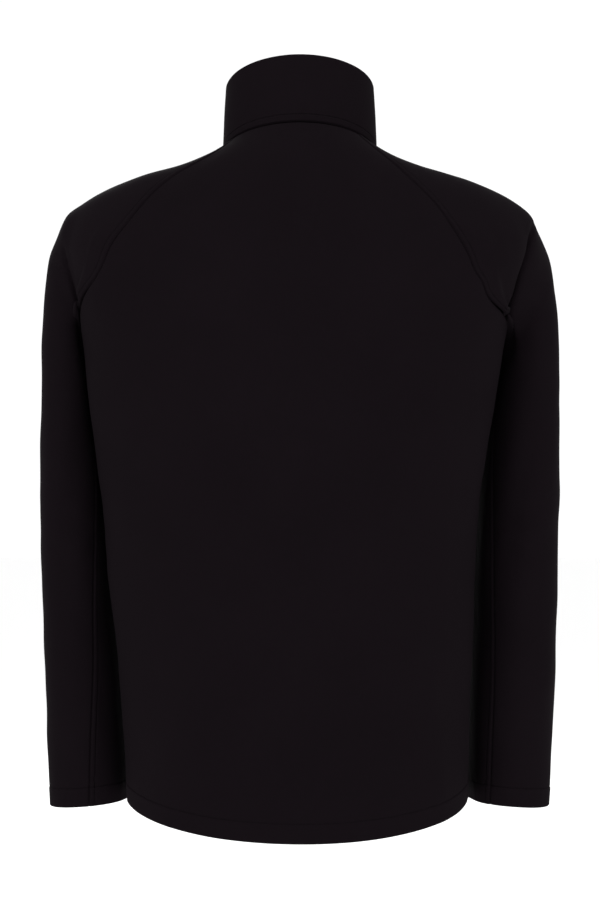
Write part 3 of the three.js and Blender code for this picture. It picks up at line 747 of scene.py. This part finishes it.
# ------------------------------------------------------------ camera, light, floor
PHOTO_F = 2453            # the photograph's focal length in pixels of its 900 px height
CAMERA_AT = (0.0, 2.6, -0.321)
cam = bpy.data.cameras.new("camera")
cam_o = bpy.data.objects.new("camera", cam)
bpy.context.scene.collection.objects.link(cam_o)
cam_o.location = CAMERA_AT
cam_o.rotation_euler = (math.pi / 2, 0, math.pi)
cam.sensor_fit = "AUTO"
cam.sensor_width = 36
cam.lens = 36 * PHOTO_F / 900
cam.clip_start, cam.clip_end = 0.1, 60
bpy.context.scene.camera = cam_o
bpy.context.scene.view_settings.view_transform = "Standard"

world = bpy.data.worlds.new("world")
bpy.context.scene.world = world
world.use_nodes = True
world.node_tree.nodes["Background"].inputs["Color"].default_value = (1, 1, 1, 1)
world.node_tree.nodes["Background"].inputs["Strength"].default_value = 1.05


def area_light(name, at, to, size, watts):
    d = bpy.data.lights.new(name, "AREA")
    d.shape = "RECTANGLE"
    d.size, d.size_y = size
    d.energy = watts
    o = bpy.data.objects.new(name, d)
    bpy.context.scene.collection.objects.link(o)
    o.location = at
    o.rotation_euler = (Vector(to) - Vector(at)).to_track_quat("-Z", "Y").to_euler()
    return o


area_light("key", (2.4, 2.6, 1.6), (0, 0, -0.3), (1.6, 1.6), 45)
area_light("fill", (-2.6, 2.2, 0.9), (0, 0, -0.3), (1.8, 1.8), 28)
area_light("front_fill", (0.6, -3.0, 1.4), (0, 0, -0.3), (2.0, 1.6), 40)

FLOOR_Z = -1.05
floor_me = bpy.data.meshes.new("floor")
bm = bmesh.new()
bmesh.ops.create_grid(bm, x_segments=8, y_segments=8, size=14)
bm.to_mesh(floor_me)
bm.free()
floor = bpy.data.objects.new("floor", floor_me)
bpy.context.scene.collection.objects.link(floor)
floor.location = (0, 0, FLOOR_Z)
fm, ft, fb = material("floor_white")
fn = add(ft, "ShaderNodeTexNoise", in_Scale=3.0, in_Detail=2.0)
fr = add(ft, "ShaderNodeMapRange")
fr.inputs["To Min"].default_value = 0.93
fr.inputs["To Max"].default_value = 0.96
ft.links.new(fn.outputs["Fac"], fr.inputs["Value"])
ft.links.new(fr.outputs["Result"], fb.inputs["Base Color"])
fb.inputs["Roughness"].default_value = 0.9
fb.inputs["Specular IOR Level"].default_value = 0.1
floor_me.materials.append(fm)


# ------------------------------------------------------------ rows of the sheets
def rows(end, fine_top, fine_end, dense=()):
    """stations from 0 to end: close together at both ends and in the dense spans (from, to, step)"""
    spans = sorted(dense)
    v, out = 0.0, []
    while v < end - 1e-6:
        out.append(v)
        step = 0.075
        for a, b, s in spans:
            if a <= v < b:
                step = s
        if v < fine_top[0]:
            step = fine_top[1]
        if v > end - fine_end[0] - 1e-9:
            step = fine_end[1]
        elif v + step > end - fine_end[0]:
            step = max(end - fine_end[0] - v, 1e-3)
        v += step
    out.append(float(end))
    return np.array(out)


def seam_angles(v):
    G = raglan_at(np.minimum(v, UNDERARM))
    G = np.where((np.asarray(v) < UNDERARM)[..., None], G, 0)
    return [G[..., i] for i in range(4)]


def back_fn(v, u):
    bl, br, _, _ = seam_angles(v)
    return ring(v, np.radians(180 - br - (180 - bl - br) * u))


def front_fn(side):
    def fn(v, u):
        _, _, fl, fr = seam_angles(v)
        a = fl if side > 0 else fr
        R = ring_at(v)
        to = 90 - np.degrees(FRONT_OPENING / 2 / (R[..., 0] if side > 0 else R[..., 1]))
        return ring(v, on_side(side, -(a + (to - a) * u)))
    return fn


BODY_ROWS = rows(HEM, (0.12, 0.02), (0.33, 0.0078), [(0.12, 1, 0.09), (1, 4, 0.09), (4, 9, 0.05)])
SLEEVE_ROWS = rows(HEM, (0.12, 0.02), (0.36, 0.0085), [(0.12, 1, 0.09), (1, 4, 0.09), (4, 7, 0.055), (7, 9, 0.035)])
stitches = {}

# ------------------------------------------------------------ back
back = Sheet(back_fn, BODY_ROWS, 78, True)
back.out += drape(back.P, 3, 1.0) * smooth(back.from_top / 60) - crease_depth(back.P) * smooth((back.from_top - 1) / 5)
back.out *= 0.35 + 0.65 * smooth(back.from_left / 12) * smooth(back.from_right / 12)
for d in (back.from_left, back.from_right):
    back.roll(d)
back.roll(back.from_top)
back.hem(back.from_end, 11, back.s)
back.slit()
side_seam = smooth((BODY_ROWS - UNDERARM - 0.2) / 0.3)
back.laps = {"left": side_seam, "right": side_seam}

fronts = {}
for side, name in ((1, "front_left"), (-1, "front_right")):
    f = Sheet(front_fn(side), BODY_ROWS, 40, side > 0)
    f.out += drape(f.P, 5 + side, 1.0) * smooth(f.from_top / 60) * smooth(f.from_right / 40) - crease_depth(f.P)
    f.out *= 0.3 + 0.7 * smooth(f.from_left / 12) * smooth(f.from_right / 14)
    f.roll(f.from_left)
    f.roll(f.from_top)
    f.strip(f.from_right, RAGLAN_STITCH, 0.35, 21 + side, f.from_top)
    f.hem(f.from_end, 31 + side, f.s)
    f.round_edge(f.from_right, 1.1)
    f.slit(right=0.0)
    fronts[side] = f

sleeves = {}
for side in (1, -1):
    closed = SLEEVE_ROWS > UNDERARM + 0.05
    gusset = smooth((SLEEVE_ROWS - 6.6) / 0.6) * (1 - smooth((SLEEVE_ROWS - 8.2) / 0.6))
    s = Sheet(lambda v, u, side=side: sleeve(side, v, u), SLEEVE_ROWS, 128, side > 0, closed, 3, gusset)
    outer = smooth(side * s.N[..., 0] * 1.6)
    s.out += (5.4 if side < 0 else 1.6) * np.exp(-(((s.P[..., 2] + 106) / 27) ** 2)) * outer
    below = smooth((SLEEVE_ROWS - UNDERARM - 0.1) / 0.4)[:, None]
    s.out += drape(s.P, 7 + side, 0.9) * smooth(s.from_top / 60) - crease_depth(s.P)
    s.out *= 0.3 + 0.7 * smooth(s.from_left / 14) * smooth(s.from_right / 14)
    fold_over(s, side, *ARM_FOLD[side])
    for d in (s.from_left, s.from_right):
        s.roll(d)
    s.roll(s.from_top)
    s.strip(s.from_left, RAGLAN_STITCH, 0.45, 41 + side, s.from_top, mask=1 - smooth((SLEEVE_ROWS - 7.45) / 0.4)[:, None])
    s.strip(s.from_right, RAGLAN_STITCH, 0.45, 51 + side, s.from_top,
            mask=np.maximum(1 - smooth((SLEEVE_ROWS - 7.3) / 0.4)[:, None], below))
    s.hem(s.from_end, 61 + side, s.s)
    s.slit()
    raglan = 1 - smooth((SLEEVE_ROWS - 7.6) / 0.3)
    s.laps = {"left": np.maximum(raglan, below[:, 0]), "right": raglan}
    sleeves[side] = s

# ------------------------------------------------------------ collar
def collar_fn(v, u):
    v, u = np.broadcast_arrays(v, u)
    R = collar_at(v)
    open_ = FRONT_OPENING / 2 / R[..., 0]
    return section(R, -np.pi / 2 + open_ + (2 * np.pi - 2 * open_) * u)


COLLAR_ROWS = np.unique(np.concatenate([np.linspace(0, 0.5, 32), np.linspace(0.5, 2.8, 40), np.linspace(2.8, RIM, 14)]))
collar = Sheet(collar_fn, COLLAR_ROWS, 150, True)
collar.wall[:] = COLLAR_WALL
collar.out += drape(collar.P, 17, 0.55) * smooth(collar.from_top / 14) * smooth(collar.from_left / 20) * smooth(collar.from_right / 20)
collar.roll(collar.from_top, 1.0, 1.1)
collar.strip(collar.from_top, COLLAR_STITCH, 0.5, 71, collar.s, dip=0.85)
for d, k in ((collar.from_left, 0), (collar.from_right, 1)):
    collar.strip(d, RAGLAN_STITCH, 0.3, 73 + k, collar.from_top, mask=smooth((collar.from_top - 8) / 4))
    collar.round_edge(d, 1.1)
collar.round_edge(collar.from_end, 1.3)
collar.slit(0, 0, SEAM_SLIT, 0)
collar.laps = {"top": True}

back_o = back.build("cloth_back", FACE, FLEECE, "softshell")
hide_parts("back")
for side, name in ((1, "front_left"), (-1, "front_right")):
    fronts[side].build("cloth_" + name, FACE, FLEECE, "softshell")
    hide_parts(name)
for side, name in ((1, "sleeve_left"), (-1, "sleeve_right")):
    sleeves[side].build("cloth_" + name, FACE, FLEECE, "softshell")
    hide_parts(name)
collar_o = collar.build("cloth_collar", FACE, FLEECE, "softshell")
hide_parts("collar")


# ------------------------------------------------------------ stitching
def column(sheet, j, rows_=slice(None)):
    return sheet.face()[rows_, j], sheet.faces_normal()[rows_, j]


def level(sheet, distance, line):
    """the line across a sheet at a distance from its top or end"""
    A, N = sheet.face(), sheet.faces_normal()
    pts, nor = [], []
    for j in range(A.shape[1]):
        d = distance[:, j]
        order = np.argsort(d)
        pts.append([np.interp(line, d[order], A[order, j, k]) for k in range(3)])
        nor.append([np.interp(line, d[order], N[order, j, k]) for k in range(3)])
    return np.array(pts), unit(np.array(nor))


for side, name in ((1, "left"), (-1, "right")):
    s = sleeves[side]
    top = np.flatnonzero(SLEEVE_ROWS < UNDERARM - 0.35)
    low = np.flatnonzero((SLEEVE_ROWS > UNDERARM + 0.15) & (s.from_end[:, -3] > 2))
    nc = s.s.shape[1]
    thread("stitch_raglan_" + name, [column(s, STITCH_COL, top), column(s, nc - 1 - STITCH_COL, top)], THREAD)
    thread("stitch_underarm_" + name, [column(s, nc - 1 - STITCH_COL, low)], THREAD)
    thread("stitch_cuff_" + name, [level(s, s.from_end, HEM_STITCH)], THREAD)
    f = fronts[side]
    nf = f.s.shape[1]
    keep = np.flatnonzero((BODY_ROWS > 0.05) & (f.from_end[:, -3] > 2))
    thread("stitch_zip_" + name, [column(f, nf - 1 - STITCH_COL, keep)], THREAD)
thread("stitch_hem", [level(x, x.from_end, HEM_STITCH) for x in (back, fronts[1], fronts[-1])], THREAD)
up = np.flatnonzero((collar.from_top[:, 5] > 9) & (collar.from_end[:, 5] > 2))
thread("stitch_collar", [level(collar, collar.from_top, COLLAR_STITCH), column(collar, STITCH_COL, up),
                         column(collar, collar.s.shape[1] - 1 - STITCH_COL, up)], THREAD)


# ------------------------------------------------------------ zip
def front_line(v, x):
    """centre front: 0 collar rim, 3 neck seam, 18 hem"""
    v, x = np.broadcast_arrays(np.asarray(v, float), np.asarray(x, float))
    R = np.where((v < RIM)[..., None], collar_at(np.clip(RIM - v, 0, RIM)), ring_at(np.clip(v - RIM, 0, HEM)))
    half = np.where(x >= 0, R[..., 0], R[..., 1])
    a = -np.pi / 2 + x / half
    return section(R, a)


ZIP_ROWS = np.concatenate([np.linspace(0.12, 2.85, 60), np.linspace(2.9, 3.15, 10), np.linspace(3.25, 17.93, 260)])
TAPE_X = np.concatenate([[2.45, 2.7, 3.1, 3.7], np.linspace(4.5, 15.4, 12), [15.7, 15.9]])


def smooth_rows(A, passes):
    for _ in range(passes):
        B = A.copy()
        B[1:-1] = (A[:-2] + 2 * A[1:-1] + A[2:]) / 4
        A = B
    return A


for side, name in ((1, "left"), (-1, "right")):
    P = front_line(ZIP_ROWS[:, None], side * TAPE_X[None, :])
    P = smooth_rows(P, 5)
    N = unit(np.cross(np.gradient(P, axis=0), np.gradient(P, axis=1))) * side
    depth = CLOTH + (COLLAR_WALL - CLOTH) * smooth(4 - ZIP_ROWS) + 0.45
    rib = 0.12 * np.sin(TAPE_X * 2 * np.pi / 1.6)[None, :]
    A = P - N * (depth[:, None] + 0.12 - rib)[..., None]
    B = P - N * (depth[:, None] + 0.8)[..., None]
    nr, nc = P.shape[:2]
    idx = np.arange(nr * nc).reshape(nr, nc)
    k = nr * nc
    a, b, c, d = idx[:-1, :-1], idx[1:, :-1], idx[1:, 1:], idx[:-1, 1:]
    faces = np.concatenate([
        np.stack([a, b, c, d], -1).reshape(-1, 4), np.stack([a, d, c, b], -1).reshape(-1, 4) + k,
        np.stack([idx[:-1, 0], idx[:-1, 0] + k, idx[1:, 0] + k, idx[1:, 0]], -1),
        np.stack([idx[:-1, -1], idx[1:, -1], idx[1:, -1] + k, idx[:-1, -1] + k], -1),
        np.stack([idx[0, :-1], idx[0, 1:], idx[0, 1:] + k, idx[0, :-1] + k], -1),
        np.stack([idx[-1, :-1], idx[-1, :-1] + k, idx[-1, 1:] + k, idx[-1, 1:]], -1),
    ])
    if side < 0:
        faces = faces[:, ::-1]
    run = np.concatenate([[0], np.cumsum(np.linalg.norm(np.diff(P[:, 0], axis=0), axis=1))])
    uv = np.stack([np.broadcast_to(TAPE_X[None, :], (nr, nc)), np.broadcast_to(run[:, None], (nr, nc))], -1).reshape(-1, 2) / 100
    o = mesh_object("tape_" + name, np.concatenate([A.reshape(-1, 3), B.reshape(-1, 3)]) * MM, faces, [TAPE], None, np.concatenate([uv, uv]))
    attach(o, "jacket")
    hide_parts("zip_tape_" + name)

# the coil: loops of both sides, one between the other
COIL_PITCH = 1.45
slider_low = frame["nodes"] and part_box("zip_slider")
chain_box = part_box("zip_chain")
chain_top = chain_box[1][2] / MM
line = smooth_rows(front_line(ZIP_ROWS, 0.0)[:, None], 5)[:, 0]
run = np.concatenate([[0], np.cumsum(np.linalg.norm(np.diff(line, axis=0), axis=1))])
tang = unit(np.gradient(line, axis=0))
norm = unit(np.cross(tang, np.array([1.0, 0, 0])))
norm = np.where(norm[:, 1:2] > 0, -norm, norm)
begin = np.interp(-chain_top, -line[:, 2], run)
finish_at = run[-1] - 9.0
V, F, base = [], [], 0
sides, rings = 6, 9
ang = np.arange(sides) * 2 * np.pi / sides
count = int((finish_at - begin) / COIL_PITCH)
for i in range(count):
    for side in (1, -1):
        at = begin + (i + (0.25 if side > 0 else 0.75)) * COIL_PITCH
        c0 = np.array([np.interp(at, run, line[:, k]) for k in range(3)])
        n0 = unit(np.array([np.interp(at, run, norm[:, k]) for k in range(3)]))
        t0 = unit(np.array([np.interp(at, run, tang[:, k]) for k in range(3)]))
        # a flattened loop from the tape edge over the middle and back below
        ts = np.linspace(0, 1, rings)
        xs = np.array([2.25, 1.5, 0.6, -0.35, -0.75, -0.35, 0.6, 1.5, 2.25])
        ds = np.array([1.10, 0.98, 0.95, 1.10, 1.85, 2.60, 2.75, 2.72, 2.6])
        rr = np.array([0.30, 0.33, 0.36, 0.42, 0.46, 0.42, 0.36, 0.33, 0.30])
        c = c0 - n0 * ds[:, None] + np.array([1.0, 0, 0]) * (side * xs)[:, None] + t0 * ((ts - 0.5) * 0.25)[:, None]
        d = unit(np.gradient(c, axis=0))
        e1 = t0 - d * (d @ t0)[:, None]
        e1 = unit(e1)
        e2 = np.cross(d, e1)
        for k in range(rings):
            V.append(c[k] + rr[k] * (np.cos(ang)[:, None] * e1[k] * 1.25 + np.sin(ang)[:, None] * e2[k]))
        for k in range(rings - 1):
            for j in range(sides):
                p = base + k * sides + j
                q = base + k * sides + (j + 1) % sides
                F.append((p, q, q + sides, p + sides))
        for k, turn in ((0, 1), (rings - 1, -1)):
            q = [base + k * sides + j for j in range(sides)][::turn * -1]
            F.append((q[0], q[1], q[2], q[3]))
            F.append((q[0], q[3], q[4], q[5]))
        base += sides * rings
coil = mesh_object("coil", np.concatenate(V) * MM, np.array(F), [COIL])
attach(coil, "jacket")
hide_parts("zip_chain")


def solid(name, bm, mat, bevel, body, segments=3):
    me = bpy.data.meshes.new(name)
    bmesh.ops.recalc_face_normals(bm, faces=bm.faces)
    bm.to_mesh(me)
    bm.free()
    me.materials.append(mat)
    o = bpy.data.objects.new(name, me)
    bpy.context.scene.collection.objects.link(o)
    if bevel:
        b = o.modifiers.new("bevel", "BEVEL")
        b.width = bevel * MM
        b.segments = segments
        b.limit_method = "ANGLE"
        b.angle_limit = math.radians(35)
    for p in me.polygons:
        p.use_smooth = True
    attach(o, body)
    return o


def prism(bm, outline_, lo, hi, put, holes=()):
    """a plate from an outline, put(x, z, depth) gives its points"""
    a = [bm.verts.new(put(x, z, lo)) for x, z in outline_]
    b = [bm.verts.new(put(x, z, hi)) for x, z in outline_]
    n = len(outline_)
    bm.faces.new(a[::-1])
    bm.faces.new(b)
    for i in range(n):
        bm.faces.new((a[i], a[(i + 1) % n], b[(i + 1) % n], b[i]))


SLIDER_Z = 20.0
COLLAR_Y = -62.0
AXIS_DEPTH = 0.4 - 1 - 0.45 - 0.8


def put_front(x, z, depth):
    return (x * MM, (COLLAR_Y + depth) * MM, (SLIDER_Z + z) * MM)


shield = [(-2.6, -9), (2.6, -9), (3.6, -7.2), (3.9, -4.5), (4.1, 0), (4.2, 3.2), (3.6, 5.2), (2.2, 6), (-2.2, 6), (-3.6, 5.2), (-4.2, 3.2), (-4.1, 0), (-3.9, -4.5), (-3.6, -7.2)]
bm = bmesh.new()
prism(bm, shield, -0.6, 0.35, put_front)
prism(bm, shield, 4.0, 4.9, put_front)
prism(bm, [(-1.3, 3.0), (0, 2.0), (1.3, 3.0), (1.0, 6), (-1.0, 6)], 0.2, 4.2, put_front)
slider = solid("slider", bm, METAL, 0.28, "jacket")
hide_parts("zip_slider")

# bridge over the pull's bar
bm = bmesh.new()
top = AXIS_DEPTH - 0.8 - 0.45
path = []
for i in range(17):
    a = math.pi * i / 16
    path.append((-3.7 * math.cos(a), -0.35 + (top - 0.5 + 0.35) * min(1, math.sin(a) * 1.55)))
ring_prev = None
for i, (z, d) in enumerate(path):
    z0, d0 = path[max(i - 1, 0)]
    z1, d1 = path[min(i + 1, 16)]
    tz, td = z1 - z0, d1 - d0
    l = math.hypot(tz, td)
    nz, nd = -td / l, tz / l
    ringv = [bm.verts.new(put_front(x, z + nz * h, d + nd * h)) for x, h in ((-1, -0.45), (1, -0.45), (1, 0.45), (-1, 0.45))]
    if ring_prev:
        for k in range(4):
            bm.faces.new((ring_prev[k], ring_prev[(k + 1) % 4], ringv[(k + 1) % 4], ringv[k]))
    else:
        bm.faces.new(ringv[::-1])
    ring_prev = ringv
bm.faces.new(ring_prev)
bridge = solid("slider_bridge", bm, METAL, 0.18, "jacket", 2)

# pull tab: arms round the bar, a waist, a rounded end with three raised grips
def pull_outline():
    pts = [(-1.45, -0.0), (-3.2, -0.0), (-3.4, -1.2), (-3.4, -6.0), (-2.7, -9.5), (-2.6, -13), (-3.1, -18), (-3.4, -23)]
    for i in range(13):
        a = math.pi + math.pi * i / 12
        pts.append((3.4 * math.cos(a), -26.6 + 3.4 * math.sin(a)))
    pts += [(3.4, -23), (3.1, -18), (2.6, -13), (2.7, -9.5), (3.4, -6.0), (3.4, -1.2), (3.2, 0), (1.45, 0), (1.45, -5.0), (1.0, -6.0), (-1.0, -6.0), (-1.45, -5.0)]
    return pts


bm = bmesh.new()
prism(bm, pull_outline(), AXIS_DEPTH - 0.75, AXIS_DEPTH + 0.75, put_front)
pull = solid("pull_tab", bm, METAL, 0.3, "pull")
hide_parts("zip_pull")
bm = bmesh.new()
bmesh.ops.create_cone(bm, cap_ends=True, segments=28, radius1=0.8 * MM, radius2=0.8 * MM, depth=6.6 * MM,
                      matrix=Matrix.Translation((0, (COLLAR_Y + AXIS_DEPTH) * MM, SLIDER_Z * MM)) @ Matrix.Rotation(math.pi / 2, 4, "Y"))
solid("pull_bar", bm, METAL, 0.15, "pull", 2)
bm = bmesh.new()
for i in range(4):
    z = -17.5 - i * 2.6
    w = 2.2
    prism(bm, [(-w, z - 0.35), (w, z - 0.35), (w + 0.2, z), (w, z + 0.35), (-w, z + 0.35), (-w - 0.2, z)], AXIS_DEPTH - 1.0, AXIS_DEPTH - 0.7, put_front)
solid("pull_grip", bm, METAL, 0.1, "pull", 2)

# stop at the hem
bm = bmesh.new()
end_at = run[-1] - 4.5
c0 = np.array([np.interp(end_at, run, line[:, k]) for k in range(3)])
prism(bm, [(-2.3, -3.6), (2.3, -3.6), (2.3, 3.6), (1.6, 4.0), (-1.6, 4.0), (-2.3, 3.6)], 0.35, 3.4,
      lambda x, z, d: (x * MM, (c0[1] + d) * MM, (c0[2] + z) * MM))
stop = solid("zip_end_stop", bm, METAL, 0.4, "jacket")
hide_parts("zip_stop")

# ------------------------------------------------------------ an empty loop over both sides
for side in (1, -1):
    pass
